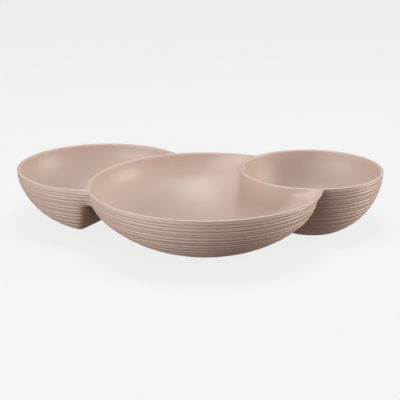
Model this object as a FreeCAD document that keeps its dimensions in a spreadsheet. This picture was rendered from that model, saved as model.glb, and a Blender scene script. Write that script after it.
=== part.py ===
"""Chip and dip server: three ribbed bowls that overlap in plan and share one rim height.

The dip bowl is a full round.  The chip bowl is a larger round, bitten where the dip bowl
stands, and the side bowl is bitten in the same way by the chip bowl.  Each bitten bowl is
closed by its own partition, which follows the neighbour's round.  Along a shared rim the two
bowls halve the wall between them, and lower down their skins part and leave a V-shaped gap
that is open underneath.  Millimetres, +Z up, origin under the middle of the overall box.
"""
import FreeCAD, Part
import math
import os

import Sketcher

SIZES = {
    "rim_height": 62.0,         # base to rim, the same on all three bowls
    "wall": 3.6,                # wall at a free rim
    "floor_thick": 3.6,         # floor above the table
    "rim_round": 1.1,           # rounding along both edges of every rim
    "rim_band": 5.4,            # plain band under the rim
    "foot_band": 3.4,           # plain band above the foot
    "rib_depth": 0.9,           # rib crest to groove
    "chip_radius": 117.2,
    "chip_rim_curve": 39.4,     # radius of the wall's curve under the rim, in section
    "chip_floor_flat": 17.6,    # radius of the level middle of the floor
    "chip_base_flat": 17.6,     # radius of the level middle of the rounded underside
    "chip_foot_cut": 1.5,       # how much of the rounded underside is cut flat
    "chip_heel": 36.0,          # radius of the chip bowl's partition at its foot
    "side_radius": 89.5,
    "side_rim_curve": 42.1,
    "side_floor_flat": 14.8,
    "side_base_flat": 14.8,
    "side_foot_cut": 1.5,
    "side_heel": 18.0,          # radius of the side bowl's partition at its foot
    "side_overlap": 82.3,       # how far the side bowl's round reaches into the chip bowl's
    "side_angle": 148.6,        # direction of the side bowl from the chip bowl, degrees
    "dip_radius": 74.0,
    "dip_rim_curve": 50.0,
    "dip_floor_flat": 12.0,
    "dip_base_flat": 4.0,
    "dip_foot_cut": 6.5,
    "dip_overlap": 68.2,        # how far the dip bowl's round reaches into the chip bowl's
    "dip_angle": 26.3,          # direction of the dip bowl from the chip bowl, degrees
}

# Heights of the ribs in proportion, from the rim band down to the foot band.
RIB_PATTERN = (3.0, 4.2, 6.3, 4.0, 6.4, 4.1, 5.3, 6.2, 5.0, 4.6, 4.1)

OVERRUN = 2.0                   # how far a cutting tool runs past the rim
HEEL_SINK = 0.4                 # a partition's heel runs out this far under the floor level
UPRIGHT = FreeCAD.Rotation(FreeCAD.Vector(1, 0, 0), 90)

START, END, CENTRE = 1, 2, 3    # points of a line or an arc, in sketch constraints
ORIGIN = -1                     # the sketch's own origin and horizontal axis
AXIS = -2                       # the sketch's vertical axis, which is the bowl's axis

doc = FreeCAD.newDocument("chip_and_dip_server")
sheet = doc.addObject("Spreadsheet::Sheet", "Sizes")
for row, (alias, value) in enumerate(SIZES.items(), start=1):
    sheet.set("A%d" % row, alias)
    sheet.set("B%d" % row, str(value))
    sheet.setAlias("B%d" % row, alias)
doc.recompute()


def size(alias):
    """A driving size, as the sheet holds it."""
    return float(sheet.get(alias))


def point(across, up):
    return FreeCAD.Vector(across, up, 0)


class Section:
    """A half section in a sketch: across is the distance from the axis, up is the height."""

    def __init__(self, name):
        self.sketch = doc.addObject("Sketcher::SketchObject", name)
        self.sketch.Placement = FreeCAD.Placement(FreeCAD.Vector(0, 0, 0), UPRIGHT)

    def line(self, start, end):
        return self.sketch.addGeometry(Part.LineSegment(start, end), False)

    def arc(self, start, middle, end):
        """An arc through three points, drawn anticlockwise as a sketch keeps its arcs.
        Returns its index and which of its ends lie at start and at end."""
        bulge = (middle - start).cross(end - middle)
        anticlockwise = bulge.z > 0
        first, last = (start, end) if anticlockwise else (end, start)
        index = self.sketch.addGeometry(Part.Arc(first, middle, last), False)
        return (index, START, END) if anticlockwise else (index, END, START)

    def guide_circle(self, centre, radius):
        circle = Part.Circle(centre, FreeCAD.Vector(0, 0, 1), radius)
        return self.sketch.addGeometry(circle, True)

    def guide_line(self, start, end):
        return self.sketch.addGeometry(Part.LineSegment(start, end), True)

    def rule(self, kind, *arguments):
        return self.sketch.addConstraint(Sketcher.Constraint(kind, *arguments))

    def bind(self, kind, arguments, value, name, expression):
        """A dimension whose value follows an expression on the sheet."""
        index = self.sketch.addConstraint(Sketcher.Constraint(kind, *arguments, value))
        self.sketch.renameConstraint(index, name)
        self.sketch.setExpression("Constraints." + name, expression)

    def across(self, geometry, end, value, name, expression):
        self.bind("DistanceX", (ORIGIN, START, geometry, end), value, name, expression)

    def up(self, geometry, end, value, name, expression):
        self.bind("DistanceY", (ORIGIN, START, geometry, end), value, name, expression)

    def revolve(self, name, place):
        """The solid of revolution about the bowl axis, standing at a bowl's place."""
        turned = doc.addObject("Part::Revolution", name)
        turned.Source = self.sketch
        turned.Axis = FreeCAD.Vector(0, 0, 1)
        turned.Base = FreeCAD.Vector(0, 0, 0)
        turned.Angle = 360
        turned.Solid = True
        turned.setExpression("Placement.Base.x", place[0])
        turned.setExpression("Placement.Base.y", place[1])
        return turned


class WallCurve:
    """A bowl's section curve: a rim arc that leaves the rim upright, then a floor arc that
    is tangent to it and levels out at flat from the axis."""

    def __init__(self, radius, rim_curve, flat, top, bottom):
        rise = top - bottom
        reach = radius - rim_curve - flat
        self.rim_curve = rim_curve
        self.floor_curve = (rise ** 2 + reach ** 2 - rim_curve ** 2) / (2 * (rise - rim_curve))
        self.rim_centre = point(radius - rim_curve, top)
        self.floor_centre = point(flat, bottom + self.floor_curve)
        along = (self.rim_centre - self.floor_centre).normalize()
        self.meeting = self.floor_centre + along * self.floor_curve

    def is_rim_arc(self, height):
        return height >= self.meeting.y

    def at(self, height, inset):
        """The point of the curve, moved inwards by inset, at a height."""
        if self.is_rim_arc(height):
            centre, radius = self.rim_centre, self.rim_curve - inset
        else:
            centre, radius = self.floor_centre, self.floor_curve - inset
        drop = height - centre.y
        return point(centre.x + math.sqrt(radius ** 2 - drop ** 2), height)


def rib_edges():
    """Each groove below the rim band, as its height and the expression for that height."""
    zone = "(Sizes.rim_height - Sizes.rim_band - Sizes.foot_band)"
    zone_height = size("rim_height") - size("rim_band") - size("foot_band")
    total = sum(RIB_PATTERN)
    edges = []
    for count in range(len(RIB_PATTERN) + 1):
        share = sum(RIB_PATTERN[:count]) / total
        height = size("rim_height") - size("rim_band") - share * zone_height
        edges.append((height, "Sizes.rim_height - Sizes.rim_band - %.5f * %s" % (share, zone)))
    return edges


def outer_block(bowl, place):
    """A bowl's outside as a solid block: rim band, ribs and flat foot."""
    section = Section(bowl + "_outer_section")
    radius = size(bowl + "_radius")
    top = size("rim_height")
    rim_round = size("rim_round")
    depth = size("rib_depth")
    underside = -size(bowl + "_foot_cut")
    curve = WallCurve(radius, size(bowl + "_rim_curve"), size(bowl + "_base_flat"),
                      top, underside)

    crest_rim = section.guide_circle(curve.rim_centre, curve.rim_curve)
    section.across(crest_rim, CENTRE, curve.rim_centre.x, "crest_rim_across",
                   "Sizes.%s_radius - Sizes.%s_rim_curve" % (bowl, bowl))
    section.up(crest_rim, CENTRE, top, "crest_rim_up", "Sizes.rim_height")
    section.bind("Radius", (crest_rim,), curve.rim_curve, "crest_rim_radius",
                 "Sizes.%s_rim_curve" % bowl)
    crest_floor = section.guide_circle(curve.floor_centre, curve.floor_curve)
    section.across(crest_floor, CENTRE, curve.floor_centre.x, "crest_floor_across",
                   "Sizes.%s_base_flat" % bowl)
    level = section.guide_line(point(0, underside), point(curve.floor_centre.x, underside))
    section.rule("Horizontal", level)
    section.rule("PointOnObject", level, START, AXIS)
    section.bind("DistanceY", (level, START, ORIGIN, START), -underside, "underside_level",
                 "Sizes.%s_foot_cut" % bowl)
    section.across(level, END, curve.floor_centre.x, "level_end", "Sizes.%s_base_flat" % bowl)
    section.rule("PointOnObject", level, END, crest_floor)
    section.rule("Tangent", crest_rim, crest_floor)
    groove_rim = section.guide_circle(curve.rim_centre, curve.rim_curve - depth)
    section.rule("Coincident", groove_rim, CENTRE, crest_rim, CENTRE)
    section.bind("Radius", (groove_rim,), curve.rim_curve - depth, "groove_rim_radius",
                 "Sizes.%s_rim_curve - Sizes.rib_depth" % bowl)
    groove_floor = section.guide_circle(curve.floor_centre, curve.floor_curve - depth)
    section.rule("Coincident", groove_floor, CENTRE, crest_floor, CENTRE)
    section.rule("Tangent", groove_rim, groove_floor)

    rim_top = section.line(point(0, top), point(radius - rim_round, top))
    section.rule("PointOnObject", rim_top, START, AXIS)
    section.rule("Horizontal", rim_top)
    section.up(rim_top, START, top, "rim_up", "Sizes.rim_height")
    corner = point(radius - rim_round, top - rim_round)
    slant = rim_round * math.sqrt(0.5)
    edge, edge_top, edge_side = section.arc(point(corner.x, top),
                                            corner + point(slant, slant),
                                            point(radius, corner.y))
    section.rule("Tangent", rim_top, END, edge, edge_top)
    section.bind("Radius", (edge,), rim_round, "edge_radius", "Sizes.rim_round")
    edges = rib_edges()
    band_foot, band_foot_expression = edges[0]
    band = section.line(point(radius, corner.y), point(radius, band_foot))
    section.rule("Tangent", edge, edge_side, band, START)
    section.rule("Vertical", band)
    section.across(band, START, radius, "band_across", "Sizes.%s_radius" % bowl)
    section.up(band, END, band_foot, "band_foot_up", band_foot_expression)

    groove = curve.at(band_foot, depth)
    step = section.line(point(radius, band_foot), groove)
    section.rule("Coincident", band, END, step, START)
    section.rule("Horizontal", step)
    section.rule("PointOnObject", step, END, groove_rim)
    last, last_end = step, END
    for count, (height, expression) in enumerate(edges[1:], start=1):
        lower = curve.at(height, depth)
        middle_height = (groove.y + height) / 2
        on_rim = curve.is_rim_arc(middle_height)
        centre = curve.rim_centre if on_rim else curve.floor_centre
        reach = curve.rim_curve if on_rim else curve.floor_curve
        outward = ((groove + lower) * 0.5 - centre).normalize()
        rib, rib_top, rib_foot = section.arc(groove, centre + outward * reach, lower)
        section.rule("Coincident", last, last_end, rib, rib_top)
        section.rule("PointOnObject", rib, rib_foot,
                     groove_rim if curve.is_rim_arc(height) else groove_floor)
        section.up(rib, rib_foot, height, "rib_%d_up" % count, expression)
        section.rule("Tangent", rib, crest_rim if on_rim else crest_floor)
        groove, last, last_end = lower, rib, rib_foot

    foot = curve.at(0.0, 0.0)
    skirt = section.line(groove, foot)
    section.rule("Coincident", last, last_end, skirt, START)
    section.rule("PointOnObject", skirt, END, crest_floor)
    section.rule("PointOnObject", skirt, END, ORIGIN)
    base = section.line(foot, point(0, 0))
    section.rule("Coincident", skirt, END, base, START)
    section.rule("Coincident", base, END, ORIGIN, START)
    axis = section.line(point(0, 0), point(0, top))
    section.rule("Coincident", base, END, axis, START)
    section.rule("Coincident", axis, END, rim_top, START)
    return section.revolve(bowl + "_outer", place)


def cavity_block(bowl, place):
    """A bowl's inside as a solid block, with the rounded lip and running past the rim."""
    section = Section(bowl + "_cavity_section")
    wall = size("wall")
    rim_round = size("rim_round")
    floor = size("floor_thick")
    top = size("rim_height")
    spring = top - rim_round
    radius = size(bowl + "_radius") - wall
    curve = WallCurve(radius, size(bowl + "_rim_curve") - wall, size(bowl + "_floor_flat"),
                      spring, floor)

    floor_edge = point(curve.floor_centre.x, floor)
    level = section.line(point(0, floor), floor_edge)
    section.rule("PointOnObject", level, START, AXIS)
    section.rule("Horizontal", level)
    section.up(level, START, floor, "floor_up", "Sizes.floor_thick")
    section.across(level, END, curve.floor_centre.x, "floor_flat", "Sizes.%s_floor_flat" % bowl)
    floor_middle = curve.at((floor + curve.meeting.y) / 2, 0)
    floor_arc, floor_in, floor_out = section.arc(floor_edge, floor_middle, curve.meeting)
    section.rule("Tangent", level, END, floor_arc, floor_in)
    rim_middle = curve.at((spring + curve.meeting.y) / 2, 0)
    rim_arc, rim_in, rim_out = section.arc(curve.meeting, rim_middle, point(radius, spring))
    section.rule("Tangent", floor_arc, floor_out, rim_arc, rim_in)
    section.bind("Radius", (rim_arc,), curve.rim_curve, "rim_curve",
                 "Sizes.%s_rim_curve - Sizes.wall" % bowl)
    section.across(rim_arc, rim_out, radius, "mouth_across",
                   "Sizes.%s_radius - Sizes.wall" % bowl)
    section.up(rim_arc, rim_out, spring, "mouth_up", "Sizes.rim_height - Sizes.rim_round")
    section.rule("Horizontal", rim_arc, CENTRE, rim_arc, rim_out)
    slant = rim_round * (1 - math.sqrt(0.5))
    lip, lip_in, lip_out = section.arc(point(radius, spring),
                                       point(radius + slant, top - slant),
                                       point(radius + rim_round, top))
    section.rule("Coincident", rim_arc, rim_out, lip, lip_in)
    section.rule("Horizontal", lip, CENTRE, lip, lip_in)
    section.rule("Vertical", lip, CENTRE, lip, lip_out)
    section.bind("Radius", (lip,), rim_round, "lip_radius", "Sizes.rim_round")
    close_over(section, lip, lip_out, point(radius + rim_round, top), level)
    return section.revolve(bowl + "_cavity", place)


def close_over(section, last, last_end, corner, first):
    """Closes a tool's section over the rim: up, in to the axis and down to its start."""
    over = size("rim_height") + OVERRUN
    rise = section.line(corner, point(corner.x, over))
    section.rule("Coincident", last, last_end, rise, START)
    section.rule("Vertical", rise)
    section.up(rise, END, over, "over_up", "Sizes.rim_height + %s" % OVERRUN)
    lid = section.line(point(corner.x, over), point(0, over))
    section.rule("Coincident", rise, END, lid, START)
    section.rule("Horizontal", lid)
    section.rule("PointOnObject", lid, END, AXIS)
    start = section.sketch.Geometry[first].StartPoint
    axis = section.line(point(0, over), start)
    section.rule("Coincident", lid, END, axis, START)
    section.rule("Coincident", axis, END, first, START)


def partition_back(bowl, neighbour, place):
    """What a partition's hidden side leaves to the neighbour, turned about its axis."""
    section = Section(bowl + "_partition_back_section")
    half = size("wall") / 2
    heel = size(bowl + "_heel")
    bottom = -size(bowl + "_foot_cut")
    radius = size(neighbour + "_radius") - half
    bend = heel + half
    centre = point(radius + bend, bottom + bend)

    base = section.line(point(0, bottom), point(centre.x, bottom))
    section.rule("PointOnObject", base, START, AXIS)
    section.rule("Horizontal", base)
    section.bind("DistanceY", (base, START, ORIGIN, START), -bottom, "bottom",
                 "Sizes.%s_foot_cut" % bowl)
    slant = bend * math.sqrt(0.5)
    curve, curve_in, curve_out = section.arc(point(centre.x, bottom), centre - point(slant, slant),
                                             point(radius, centre.y))
    section.rule("Tangent", base, END, curve, curve_in)
    section.bind("Radius", (curve,), bend, "bend",
                 "Sizes.%s_heel + Sizes.wall / 2" % bowl)
    section.across(curve, curve_out, radius, "face_across",
                   "Sizes.%s_radius - Sizes.wall / 2" % neighbour)
    section.rule("Horizontal", curve, CENTRE, curve, curve_out)
    close_over(section, curve, curve_out, point(radius, centre.y), base)
    return section.revolve(bowl + "_partition_back", place)


def partition_front(bowl, neighbour, place):
    """What a partition keeps out of its own bowl's cavity, turned about the neighbour's axis."""
    section = Section(bowl + "_partition_front_section")
    rim_round = size("rim_round")
    heel = size(bowl + "_heel")
    bottom = size("floor_thick") - HEEL_SINK
    top = size("rim_height")
    radius = size(neighbour + "_radius")
    centre = point(radius + heel, bottom + heel)

    base = section.line(point(0, bottom), point(centre.x, bottom))
    section.rule("PointOnObject", base, START, AXIS)
    section.rule("Horizontal", base)
    section.up(base, START, bottom, "bottom_up", "Sizes.floor_thick - %s" % HEEL_SINK)
    slant = heel * math.sqrt(0.5)
    curve, curve_in, curve_out = section.arc(point(centre.x, bottom), centre - point(slant, slant),
                                             point(radius, centre.y))
    section.rule("Tangent", base, END, curve, curve_in)
    section.bind("Radius", (curve,), heel, "heel", "Sizes.%s_heel" % bowl)
    section.across(curve, curve_out, radius, "face_across", "Sizes.%s_radius" % neighbour)
    section.rule("Horizontal", curve, CENTRE, curve, curve_out)
    face = section.line(point(radius, centre.y), point(radius, top - rim_round))
    section.rule("Coincident", curve, curve_out, face, START)
    section.rule("Vertical", face)
    corner = point(radius - rim_round, top - rim_round)
    slant = rim_round * math.sqrt(0.5)
    lip, lip_in, lip_out = section.arc(point(radius, corner.y), corner + point(slant, slant),
                                       point(corner.x, top))
    section.rule("Tangent", face, END, lip, lip_in)
    section.bind("Radius", (lip,), rim_round, "lip_radius", "Sizes.rim_round")
    section.up(lip, lip_out, top, "rim_up", "Sizes.rim_height")
    section.rule("Vertical", lip, CENTRE, lip, lip_out)
    close_over(section, lip, lip_out, point(corner.x, top), base)
    return section.revolve(bowl + "_partition_front", place)


def cut(name, base, tool):
    result = doc.addObject("Part::Cut", name)
    result.Base = base
    result.Tool = tool
    return result


def bowl_places():
    """The axis of each bowl, as expressions, with the overall box centred on the origin."""
    def offset(bowl, function):
        return ("(Sizes.chip_radius + Sizes.{0}_radius - Sizes.{0}_overlap)"
                " * {1}(Sizes.{0}_angle * 1 deg)").format(bowl, function)

    side_x, side_y = offset("side", "cos"), offset("side", "sin")
    dip_x, dip_y = offset("dip", "cos"), offset("dip", "sin")
    middle_x = "((%s) - Sizes.side_radius + (%s) + Sizes.dip_radius) / 2" % (side_x, dip_x)
    back = "max((%s) + Sizes.side_radius; (%s) + Sizes.dip_radius)" % (side_y, dip_y)
    middle_y = "(%s - Sizes.chip_radius) / 2" % back
    return {
        "chip": ("-(%s)" % middle_x, "-(%s)" % middle_y),
        "side": ("%s - (%s)" % (side_x, middle_x), "%s - (%s)" % (side_y, middle_y)),
        "dip": ("%s - (%s)" % (dip_x, middle_x), "%s - (%s)" % (dip_y, middle_y)),
    }


def bitten_block(bowl, neighbour, places):
    """The outside of a bowl less what its partition leaves to the neighbour."""
    block = outer_block(bowl, places[bowl])
    return cut(bowl + "_block", block, partition_back(bowl, neighbour, places[neighbour]))


def bitten_cavity(bowl, neighbour, places):
    """The inside of a bowl less the partition and its heel."""
    cavity = cavity_block(bowl, places[bowl])
    return cut(bowl + "_hollow", cavity, partition_front(bowl, neighbour, places[neighbour]))


places = bowl_places()
chip_block = bitten_block("chip", "dip", places)
side_block = bitten_block("side", "chip", places)

dip_shell = cut("dip_shell", outer_block("dip", places["dip"]), cavity_block("dip", places["dip"]))
chip_shell = cut("chip_shell", chip_block, bitten_cavity("chip", "dip", places))

dip_bowl = cut("dip_bowl", dip_shell, chip_block)
chip_bowl = cut("chip_bowl", chip_shell, side_block)
side_bowl = cut("side_bowl", side_block, bitten_cavity("side", "chip", places))
doc.recompute()

for item in doc.Objects:
    if "Invalid" in item.State or "Error" in item.State:
        raise RuntimeError("%s failed: %s" % (item.Name, item.State))
for node in (dip_bowl, chip_bowl, side_bowl):
    if node.Shape.isNull() or not node.Shape.isValid() or len(node.Shape.Solids) != 1:
        raise RuntimeError("%s is not one valid solid" % node.Label)

os.makedirs("parts", exist_ok=True)
for node in (dip_bowl, chip_bowl, side_bowl):
    node.Shape.exportStep("parts/%s.step" % node.Label)
    print(node.Label, "volume %.0f mm3" % node.Shape.Volume, node.Shape.BoundBox)
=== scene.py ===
"""Looks of the chip and dip server: three ribbed bowls that overlap in plan.

Each bowl is one closed skin of loops, one above another: up the ribbed outside, over the rim
and down the smooth inside.  A loop is traced in the bowl's own plan, where x points at the
neighbour that bites it.  Sections are in millimetres, and the scene is in metres.
"""
import math

import bpy
import numpy as np
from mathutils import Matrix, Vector


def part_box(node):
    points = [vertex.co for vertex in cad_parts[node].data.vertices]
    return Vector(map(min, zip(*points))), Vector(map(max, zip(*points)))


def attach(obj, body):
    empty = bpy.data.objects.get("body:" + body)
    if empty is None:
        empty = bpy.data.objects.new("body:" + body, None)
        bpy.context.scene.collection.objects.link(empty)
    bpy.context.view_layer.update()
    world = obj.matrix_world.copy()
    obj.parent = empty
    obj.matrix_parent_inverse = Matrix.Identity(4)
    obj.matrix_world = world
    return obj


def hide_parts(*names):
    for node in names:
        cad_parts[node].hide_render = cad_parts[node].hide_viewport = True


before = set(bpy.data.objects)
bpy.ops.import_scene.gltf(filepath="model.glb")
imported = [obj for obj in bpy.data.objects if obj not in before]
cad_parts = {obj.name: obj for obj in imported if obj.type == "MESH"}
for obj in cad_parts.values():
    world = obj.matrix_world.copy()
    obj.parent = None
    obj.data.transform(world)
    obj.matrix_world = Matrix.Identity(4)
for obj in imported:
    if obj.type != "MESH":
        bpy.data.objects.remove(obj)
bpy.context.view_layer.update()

MM = 0.001

# Sizes shared with the CAD part, in millimetres.
RIM = 62.0
WALL = 3.6
FLOOR = 3.6
EDGE = 1.1              # rounding along both edges of a rim
CHIP_RADIUS, SIDE_RADIUS, DIP_RADIUS = 117.2, 89.5, 74.0
DIP_OVERLAP = 68.2      # how far the dip bowl's round reaches into the chip bowl's
DIP_ANGLE = math.radians(26.3)

# Grooves between the ribs: how far under the rim, and how deep.
GROOVES = (
    (1.9, 0.75), (5.4, 0.7), (8.4, 1.0), (12.6, 1.1), (15.5, 0.35), (18.9, 1.05),
    (22.9, 1.2), (26.0, 0.35), (29.3, 1.1), (33.4, 1.1), (38.7, 1.25), (44.9, 1.1),
    (49.9, 1.0), (54.5, 1.0), (58.6, 0.8),
)
STEEPEST = 0.35         # least share of a rib's depth taken as sideways
RIB_POINT = 2.5         # how narrow a groove is against the rib between two
HIDDEN_RIBS = 0.6       # share of a rib's depth on a horn's end and the hidden faces

# The joints between bowls.
EMBED = 0.3             # how far a bitten bowl's skin reaches into its neighbour's wall
SKIN = 0.05             # and how far its cavity stands off the neighbour's round
DROP = 0.02             # how much lower each later bowl's rim is, so that no faces coincide
DROP_FOOT, DROP_RUN = 40.0, 20.0    # where that lowering starts, and its height until full
CRISP = 0.5             # rounding of a horn at the rim
CREASE = 0.6            # rounding between two bowls where there is no web
OUTER_NOSE, OUTER_RUN = 20.0, 3.0   # a horn's reach at the rim, and the height it ends over
INNER_NOSE, INNER_RUN = 16.0, 6.0   # the same for the end of the cavity
NOSE_BLEND = 3.0        # rounding between the two lines that a nose follows
END_SOFT, END_MORE = 3.0, 9.0       # rounding of the cavity's end: at the rim, and added below
CORNER_SOFT, CORNER_MORE = 10.0, 14.0   # the same for the cavity's corners

# The mesh.
RIB_ROWS = 8            # rows over one rib
THIN_RIB = 1.0          # a rib less high than this has no rows of its own
LIP_ROWS = 6
CAVITY_ROWS = 46
CAVITY_BUNCH = 1.8      # above 1, the cavity's rows close up towards the floor
FOOT_ROWS = (0.0, 0.03, 0.09, 0.18, 0.3, 0.45, 0.6, 0.75, 0.88)     # up to the lowest groove
FILL_RINGS = (0.25, 0.5, 0.75)      # rings that close the foot and the floor
COLUMN = 2.4            # width of a column
FINEST_COLUMN = 0.35    # and of the first one at a horn
COLUMN_GROWTH = 1.35
TRACE_FROM = 0.24       # where a loop is traced from, as a share of the bitten round's width
TRACE_MARGIN = 12.0     # how far the marks run past the round
TRACE_MARKS = 240       # marks along each bearing, to find the first one outside
HALVINGS = 24           # halvings of the last step, to place the point

# The studio and the camera, in metres, watts and degrees.
LIT_POINT = Vector((0, 0, 0.03))
LIGHT_SIZE, LIGHT_REACH = 0.6, 1.4
WARM = (1.0, 0.92, 0.86)
FLOOR_HALF = 8.0
FLOOR_GLOW = 0.81
CAMERA_PLACE = (0.0004, -1.1866, 0.4170)
CAMERA_PITCH = 17.676   # how far the camera looks down
CAMERA_LENS, CAMERA_SENSOR = 110.5, 36.0        # millimetres


class Curve:
    """A section: a rim arc, upright at the top, and a floor arc that levels out."""

    def __init__(self, radius, rim_curve, flat, top, bottom):
        self.widest, self.top = radius, top
        self.rim_curve, self.rim_x = rim_curve, radius - rim_curve
        rise, reach = top - bottom, self.rim_x - flat
        self.floor_curve = (rise ** 2 + reach ** 2 - rim_curve ** 2) / (2 * (rise - rim_curve))
        self.floor_x, self.floor_z = flat, bottom + self.floor_curve
        slope = math.atan2(top - self.floor_z, reach)
        self.meet = self.floor_z + self.floor_curve * math.sin(slope)

    def at(self, z):
        """Radius at a height, and how much of the surface's normal is sideways."""
        on_rim = z >= self.meet
        bend = np.where(on_rim, self.rim_curve, self.floor_curve)
        drop = np.where(on_rim, z - self.top, z - self.floor_z)
        side = np.sqrt(np.maximum(bend ** 2 - np.minimum(drop, 0) ** 2, 0))
        reach = np.where(on_rim, self.rim_x, self.floor_x) + side
        return np.minimum(reach, self.widest), side / bend


def rib_inset(z):
    """How far the outside lies in from the crests at a height."""
    marks = [(0.0, 0.0), *GROOVES, (RIM, 0.0)]
    below = RIM - z
    inset = np.zeros_like(z)
    for (high, d_high), (low, d_low) in zip(marks, marks[1:]):
        share = (below - high) / (low - high)
        here = (share >= 0) & (share <= 1)
        arch = np.abs(2 * share - 1) ** RIB_POINT
        inset = np.where(here, arch * np.where(share < 0.5, d_high, d_low), inset)
    return inset


def lip(z):
    """How far a rounded rim edge has turned in at a height."""
    rise = np.clip(z - (RIM - EDGE), 0, EDGE)
    return EDGE - np.sqrt(EDGE ** 2 - rise ** 2)


def smooth(x):
    x = np.clip(x, 0, 1)
    return x * x * (3 - 2 * x)


def both(a, b, k):
    """Where both shapes are, with the edge rounded by k."""
    return np.minimum(-k, np.maximum(a, b)) + np.hypot(np.maximum(k + a, 0), np.maximum(k + b, 0))


def either(a, b, k):
    """Where either shape is, with the inner corner filled by k."""
    return np.maximum(k, np.minimum(a, b)) - np.hypot(np.maximum(k - a, 0), np.maximum(k - b, 0))


class Bowl:
    """A bowl and, where a neighbour bites it, the partition that closes it there.

    horn is the rounding of the two tips beside the bite.  nose says where they end: the splay
    of the end planes, and two lines over the crest's radius, of which the farther counts.
    web is the fill between horn and neighbour: its rounding, its foot and its run.  swell is
    how fast the cavity's corners round off below the rim.
    """

    def __init__(self, node, centre, radius, rim_curve, floor_flat, base_flat, foot_cut,
                 neighbour=None, heel=0.0, horn=0.0, nose=None, web=None, swell=0.0,
                 drop=0.0):
        self.node, self.centre, self.radius = node, np.array(centre), radius
        self.outside = Curve(radius, rim_curve, base_flat, RIM, -foot_cut)
        self.inside = Curve(radius - WALL, rim_curve - WALL, floor_flat, RIM - EDGE, FLOOR)
        self.foot_cut = foot_cut
        self.neighbour, self.heel, self.horn = neighbour, heel, horn
        self.nose, self.web, self.swell, self.drop = nose, web, swell, drop
        self.toward, self.away = 0.0, 0.0
        if neighbour:
            dx, dy = neighbour.centre - self.centre
            self.toward, self.away = math.atan2(dy, dx), math.hypot(dx, dy)

    def crest(self, z):
        return self.outside.at(z)[0] - lip(z)

    def outer(self, z):
        radius, sideways = self.outside.at(z)
        return radius - rib_inset(z) / np.maximum(sideways, STEEPEST) - lip(z)

    def inner(self, z):
        return self.inside.at(z)[0] + lip(z)

    def hidden(self, z):
        """Radius of the partition's hidden face about the neighbour's axis."""
        bend = self.heel + WALL / 2
        low = np.clip(bend - self.foot_cut - z, 0, bend)
        face = self.neighbour.radius - WALL / 2 + bend - np.sqrt(bend ** 2 - low ** 2)
        return np.maximum(face, self.neighbour.crest(z) - EMBED)

    def front(self, z):
        """Radius of the partition's cavity face about the neighbour's axis."""
        low = np.clip(FLOOR + self.heel - z, 0, self.heel)
        face = self.neighbour.radius + self.heel - np.sqrt(self.heel ** 2 - low ** 2)
        return face - lip(z) + SKIN

    def past_nose(self, z, x, y):
        """How far a point is beyond the planes that end the two horns."""
        splay, share, back, least = self.nose
        crest = self.crest(z)
        early, late = share * crest - back, least * crest
        reach = (early + late + np.hypot(early - late, NOSE_BLEND)) / 2
        return x * math.cos(splay) + np.abs(y) * math.sin(splay) - reach

    def outer_field(self, z, x, y):
        """Below zero inside the bowl's outside.  The point is in the bowl's own plan."""
        shape = np.hypot(x, y) - self.outer(z)
        if not self.neighbour:
            return shape
        far = np.hypot(x - self.away, y)
        under = smooth((RIM - EDGE - z) / OUTER_RUN)
        inset = HIDDEN_RIBS * rib_inset(z)
        edge = CRISP + (self.horn - CRISP) * under
        blunt = self.past_nose(z, x, y) - OUTER_NOSE * (1 - under) + inset
        lune = both(both(shape, blunt, edge), self.hidden(z) + inset - far, edge)
        wall = self.neighbour.outer(z)
        web, foot, run = self.web
        joined = either(lune, far - wall, CREASE + web * under * smooth((z - foot) / run))
        return np.maximum(joined, wall - EMBED - far)

    def inner_field(self, z, x, y):
        """Below zero inside the bowl's cavity."""
        shape = np.hypot(x, y) - self.inner(z)
        if not self.neighbour:
            return shape
        below = RIM - z
        reach_on = INNER_NOSE * (1 - smooth(below / INNER_RUN))
        blunt = self.past_nose(z, x, y) + WALL - reach_on
        shape = both(shape, blunt, END_SOFT + np.minimum(below, END_MORE))
        soft = CORNER_SOFT + np.minimum(self.swell * below, CORNER_MORE)
        return both(shape, self.front(z) - np.hypot(x - self.away, y), soft)

    def corner(self, own, bite):
        """Where the bowl's round crosses the bite."""
        x = (own ** 2 - bite ** 2 + self.away ** 2) / (2 * self.away)
        return x, math.sqrt(max(own ** 2 - x ** 2, 0.0))


def spread(length):
    """Shares of a length, about a column apart, that close up at its start."""
    places, at, gap = [0.0], 0.0, FINEST_COLUMN
    while at < length:
        at += gap
        gap = min(gap * COLUMN_GROWTH, COLUMN)
        places.append(at)
    return np.array(places) / at


def columns(bowl):
    """Half a loop's columns, as shares of the bitten and of the free side."""
    if not bowl.neighbour:
        return np.array([0.0]), np.linspace(0, 1, round(math.pi * bowl.radius / COLUMN))
    x, y = bowl.corner(bowl.radius, bowl.neighbour.radius)
    bitten = bowl.neighbour.radius * math.atan2(y, bowl.away - x)
    free = bowl.radius * (math.pi - math.atan2(y, x))
    return (1 - spread(bitten)[::-1])[:-1], spread(free)


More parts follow.
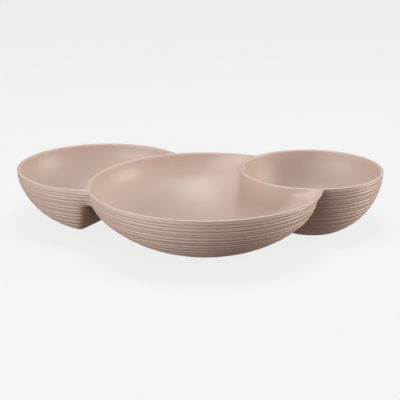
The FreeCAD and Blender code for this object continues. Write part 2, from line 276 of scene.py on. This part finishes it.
def trace(bowl, z, field, own, bite, shares):
    """One loop, as points in the bowl's own plan, and the point that it was traced from."""
    if bowl.neighbour:
        near = bowl.away - bite
        start = -own + TRACE_FROM * (near + own)
        x, y = bowl.corner(own, bite)
        turn = math.atan2(y, x - start)
        bearings = np.concatenate([shares[0] * turn, turn + shares[1] * (math.pi - turn)])
    else:
        start = 0.0
        bearings = shares[1] * math.pi
    reach = own + abs(start) + TRACE_MARGIN
    c, s = np.cos(bearings), np.sin(bearings)
    marks = np.linspace(0, reach, TRACE_MARKS)
    outside = field(z, start + marks[:, None] * c, marks[:, None] * s) > 0
    first = np.argmax(outside, axis=0)
    high, low = marks[first], marks[np.maximum(first - 1, 0)]
    for _ in range(HALVINGS):
        middle = (low + high) / 2
        out = field(z, start + middle * c, middle * s) > 0
        high, low = np.where(out, middle, high), np.where(out, low, middle)
    x, y = start + low * c, low * s
    loop = np.concatenate([np.stack([x, y], 1), np.stack([x, -y], 1)[-2:0:-1]])
    return loop, np.array([start, 0.0])


def outer_heights():
    """Heights of the outside's loops, from the foot up: close together in the grooves."""
    marks = [RIM - below for below, _ in reversed(GROOVES)]
    heights = list(marks[0] * np.array(FOOT_ROWS))
    for low, high in zip(marks, marks[1:]):
        if high - low > THIN_RIB:
            turn = np.linspace(0, math.pi, RIB_ROWS + 1)[:-1]
            heights.extend(low + (high - low) * (1 - np.cos(turn)) / 2)
    heights.append(marks[-1])
    heights.extend(RIM - EDGE + EDGE * np.sin(np.linspace(0, math.pi / 2, LIP_ROWS)))
    return heights


def inner_heights():
    """Heights of the cavity's loops, from the rim down."""
    down = RIM - EDGE + EDGE * np.sin(np.linspace(math.pi / 2, 0, LIP_ROWS))
    share = np.linspace(1, 0, CAVITY_ROWS)[1:]
    return list(down) + list(FLOOR + (RIM - EDGE - FLOOR) * share ** CAVITY_BUNCH)


def stack_loops(bowl):
    """The bowl's loops with their heights, and the middles of its foot and of its floor."""
    shares = columns(bowl)
    loops, heights = [], []

    def add(loop, z):
        loops.append(loop)
        heights.append(z)

    for z in outer_heights():
        z = np.float64(z)
        bite = float(bowl.hidden(z)) if bowl.neighbour else 0.0
        loop, middle = trace(bowl, z, bowl.outer_field, float(bowl.crest(z)), bite, shares)
        if not loops:
            foot = middle
            for share in FILL_RINGS:
                add(foot + share * (loop - foot), z)
        add(loop, z)
    for z in inner_heights():
        z = np.float64(z)
        bite = float(bowl.front(z)) if bowl.neighbour else 0.0
        loop, middle = trace(bowl, z, bowl.inner_field, float(bowl.inner(z)), bite, shares)
        add(loop, z)
    for share in reversed(FILL_RINGS):
        add(middle + share * (loop - middle), z)
    return loops, heights, foot, middle


def skin_faces(rows, count):
    """Quads from each loop to the next, and triangles from the end loops to the two middles."""
    here = np.arange(count)
    after = np.roll(here, -1)
    faces = []
    for row in range(rows - 1):
        a, b = row * count, (row + 1) * count
        faces.extend(np.stack([a + here, a + after, b + after, b + here], 1).tolist())
    last, foot, floor = (rows - 1) * count, rows * count, rows * count + 1
    faces.extend(np.stack([after, here, np.full(count, foot)], 1).tolist())
    faces.extend(np.stack([last + here, last + after, np.full(count, floor)], 1).tolist())
    return faces


def skin(bowl):
    """The bowl's points and faces, in the frame, in metres."""
    loops, heights, foot, floor = stack_loops(bowl)
    count = len(loops[0])
    x, y = np.concatenate([*loops, [foot, floor]]).T
    z = np.concatenate([np.repeat(heights, count), [0.0, FLOOR]])
    z -= bowl.drop * smooth((z - DROP_FOOT) / DROP_RUN)
    c, s = math.cos(bowl.toward), math.sin(bowl.toward)
    points = np.stack([bowl.centre[0] + c * x - s * y, bowl.centre[1] + s * x + c * y, z], 1)
    return points * MM, skin_faces(len(loops), count)


def plastic():
    """Satin taupe plastic, a little cloudy in colour and gloss, with a fine grain."""
    material = bpy.data.materials.new("satin_taupe_plastic")
    material.use_nodes = True
    nodes, links = material.node_tree.nodes, material.node_tree.links
    shader = nodes["Principled BSDF"]
    place = nodes.new("ShaderNodeTexCoord")
    cloud = nodes.new("ShaderNodeTexNoise")
    cloud.inputs["Scale"].default_value = 14.0
    cloud.inputs["Detail"].default_value = 3.0
    links.new(place.outputs["Object"], cloud.inputs["Vector"])
    tint = nodes.new("ShaderNodeMix")
    tint.data_type = "RGBA"
    tint.inputs["A"].default_value = (0.485, 0.375, 0.325, 1)
    tint.inputs["B"].default_value = (0.515, 0.400, 0.347, 1)
    links.new(cloud.outputs["Fac"], tint.inputs["Factor"])
    links.new(tint.outputs["Result"], shader.inputs["Base Color"])
    gloss = nodes.new("ShaderNodeMapRange")
    gloss.inputs["To Min"].default_value = 0.40
    gloss.inputs["To Max"].default_value = 0.48
    links.new(cloud.outputs["Fac"], gloss.inputs["Value"])
    links.new(gloss.outputs["Result"], shader.inputs["Roughness"])
    grain = nodes.new("ShaderNodeTexNoise")
    grain.inputs["Scale"].default_value = 900.0
    links.new(place.outputs["Object"], grain.inputs["Vector"])
    bump = nodes.new("ShaderNodeBump")
    bump.inputs["Strength"].default_value = 0.04
    bump.inputs["Distance"].default_value = 0.0002
    links.new(grain.outputs["Fac"], bump.inputs["Height"])
    links.new(bump.outputs["Normal"], shader.inputs["Normal"])
    return material


def build(bowl, material):
    """The bowl's skin as a piece that stands for its CAD solid."""
    points, faces = skin(bowl)
    mesh = bpy.data.meshes.new(bowl.node)
    mesh.from_pydata(points.tolist(), [], faces)
    mesh.shade_smooth()
    mesh.materials.append(material)
    piece = bpy.data.objects.new(bowl.node + "_skin", mesh)
    bpy.context.scene.collection.objects.link(piece)
    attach(piece, "root")
    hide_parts(bowl.node)


def middle_of(node, radius, side):
    """A bowl's axis, from its CAD box and the side where its round is whole."""
    low, high = (np.array(corner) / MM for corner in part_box(node))
    x = low[0] + radius if side == "left" else high[0] - radius
    return x, high[1] - radius


def softbox(name, azimuth, elevation, power, colour=(1, 1, 1)):
    """A square light aimed at the object.  Azimuth 0 is in front, and 90 is to the right."""
    a, e = math.radians(azimuth), math.radians(elevation)
    way = Vector((math.sin(a) * math.cos(e), -math.cos(a) * math.cos(e), math.sin(e)))
    lamp = bpy.data.lights.new(name, "AREA")
    lamp.shape = "SQUARE"
    lamp.size = LIGHT_SIZE
    lamp.energy = power
    lamp.color = colour
    holder = bpy.data.objects.new(name, lamp)
    holder.location = LIT_POINT + way * LIGHT_REACH
    holder.rotation_mode = "QUATERNION"
    holder.rotation_quaternion = (-way).to_track_quat("-Z", "Y")
    bpy.context.scene.collection.objects.link(holder)


def floor_plane():
    """A plain pale floor, bright in itself, that still takes a faint shadow under the bowls."""
    half = FLOOR_HALF
    mesh = bpy.data.meshes.new("floor")
    mesh.from_pydata([(-half, -half, 0), (half, -half, 0), (half, half, 0), (-half, half, 0)],
                     [], [(0, 1, 2, 3)])
    floor = bpy.data.objects.new("floor", mesh)
    bpy.context.scene.collection.objects.link(floor)
    material = bpy.data.materials.new("pale_floor")
    material.use_nodes = True
    shader = material.node_tree.nodes["Principled BSDF"]
    shader.inputs["Base Color"].default_value = (0.08, 0.08, 0.08, 1)
    shader.inputs["Roughness"].default_value = 1.0
    shader.inputs["Specular IOR Level"].default_value = 0.0
    shader.inputs["Emission Color"].default_value = (1, 1, 1, 1)
    shader.inputs["Emission Strength"].default_value = FLOOR_GLOW
    mesh.materials.append(material)
    floor.visible_diffuse = False
    floor.visible_glossy = False


def studio_world():
    """A soft dome that is bright overhead and dim and warm below, like a table's bounce."""
    world = bpy.data.worlds.new("studio")
    world.use_nodes = True
    nodes, links = world.node_tree.nodes, world.node_tree.links
    place = nodes.new("ShaderNodeTexCoord")
    split = nodes.new("ShaderNodeSeparateXYZ")
    links.new(place.outputs["Generated"], split.inputs["Vector"])
    ramp = nodes.new("ShaderNodeValToRGB")
    ramp.color_ramp.elements[0].position = 0.48
    ramp.color_ramp.elements[0].color = (0.18, 0.13, 0.11, 1)
    ramp.color_ramp.elements[1].position = 0.52
    ramp.color_ramp.elements[1].color = (0.29, 0.29, 0.29, 1)
    height = nodes.new("ShaderNodeMapRange")
    height.inputs["From Min"].default_value = -1.0
    links.new(split.outputs["Z"], height.inputs["Value"])
    links.new(height.outputs["Result"], ramp.inputs["Fac"])
    links.new(ramp.outputs["Color"], nodes["Background"].inputs["Color"])
    bpy.context.scene.world = world


dip_x, dip_y = middle_of("dip_bowl", DIP_RADIUS, "right")
dip_away = CHIP_RADIUS + DIP_RADIUS - DIP_OVERLAP
chip_x = dip_x - dip_away * math.cos(DIP_ANGLE)
chip_y = dip_y - dip_away * math.sin(DIP_ANGLE)
dip = Bowl("dip_bowl", (dip_x, dip_y), DIP_RADIUS, rim_curve=50.0, floor_flat=12.0,
           base_flat=4.0, foot_cut=6.5)
chip = Bowl("chip_bowl", (chip_x, chip_y), CHIP_RADIUS, rim_curve=39.4, floor_flat=17.6,
            base_flat=17.6, foot_cut=1.5, neighbour=dip, heel=36.0, horn=2.5,
            nose=(math.radians(28), 1.5, 66.4, 0.88), web=(1.5, 52.0, 4.0), swell=2.0,
            drop=DROP)
side = Bowl("side_bowl", middle_of("side_bowl", SIDE_RADIUS, "left"), SIDE_RADIUS,
            rim_curve=42.1, floor_flat=14.8, base_flat=14.8, foot_cut=1.5, neighbour=chip,
            heel=18.0, horn=4.0, nose=(0.0, 0.70, 29.0, -1.0), web=(14.0, 40.0, 4.0),
            swell=0.5, drop=2 * DROP)
taupe = plastic()
for bowl in (dip, chip, side):
    build(bowl, taupe)

floor_plane()
studio_world()
softbox("key", 300, 12, 10.1)
softbox("fill", 330, 12, 6.0, WARM)
softbox("side", 93, 12, 16.5, WARM)
softbox("overhead", 0, 90, 14.8)
bpy.context.scene.view_settings.view_transform = "Standard"

camera = bpy.data.objects.new("camera", bpy.data.cameras.new("camera"))
bpy.context.scene.collection.objects.link(camera)
camera.location = CAMERA_PLACE
camera.rotation_euler = (math.radians(90 - CAMERA_PITCH), 0, 0)
camera.data.sensor_width = CAMERA_SENSOR
camera.data.lens = CAMERA_LENS
bpy.context.scene.camera = camera
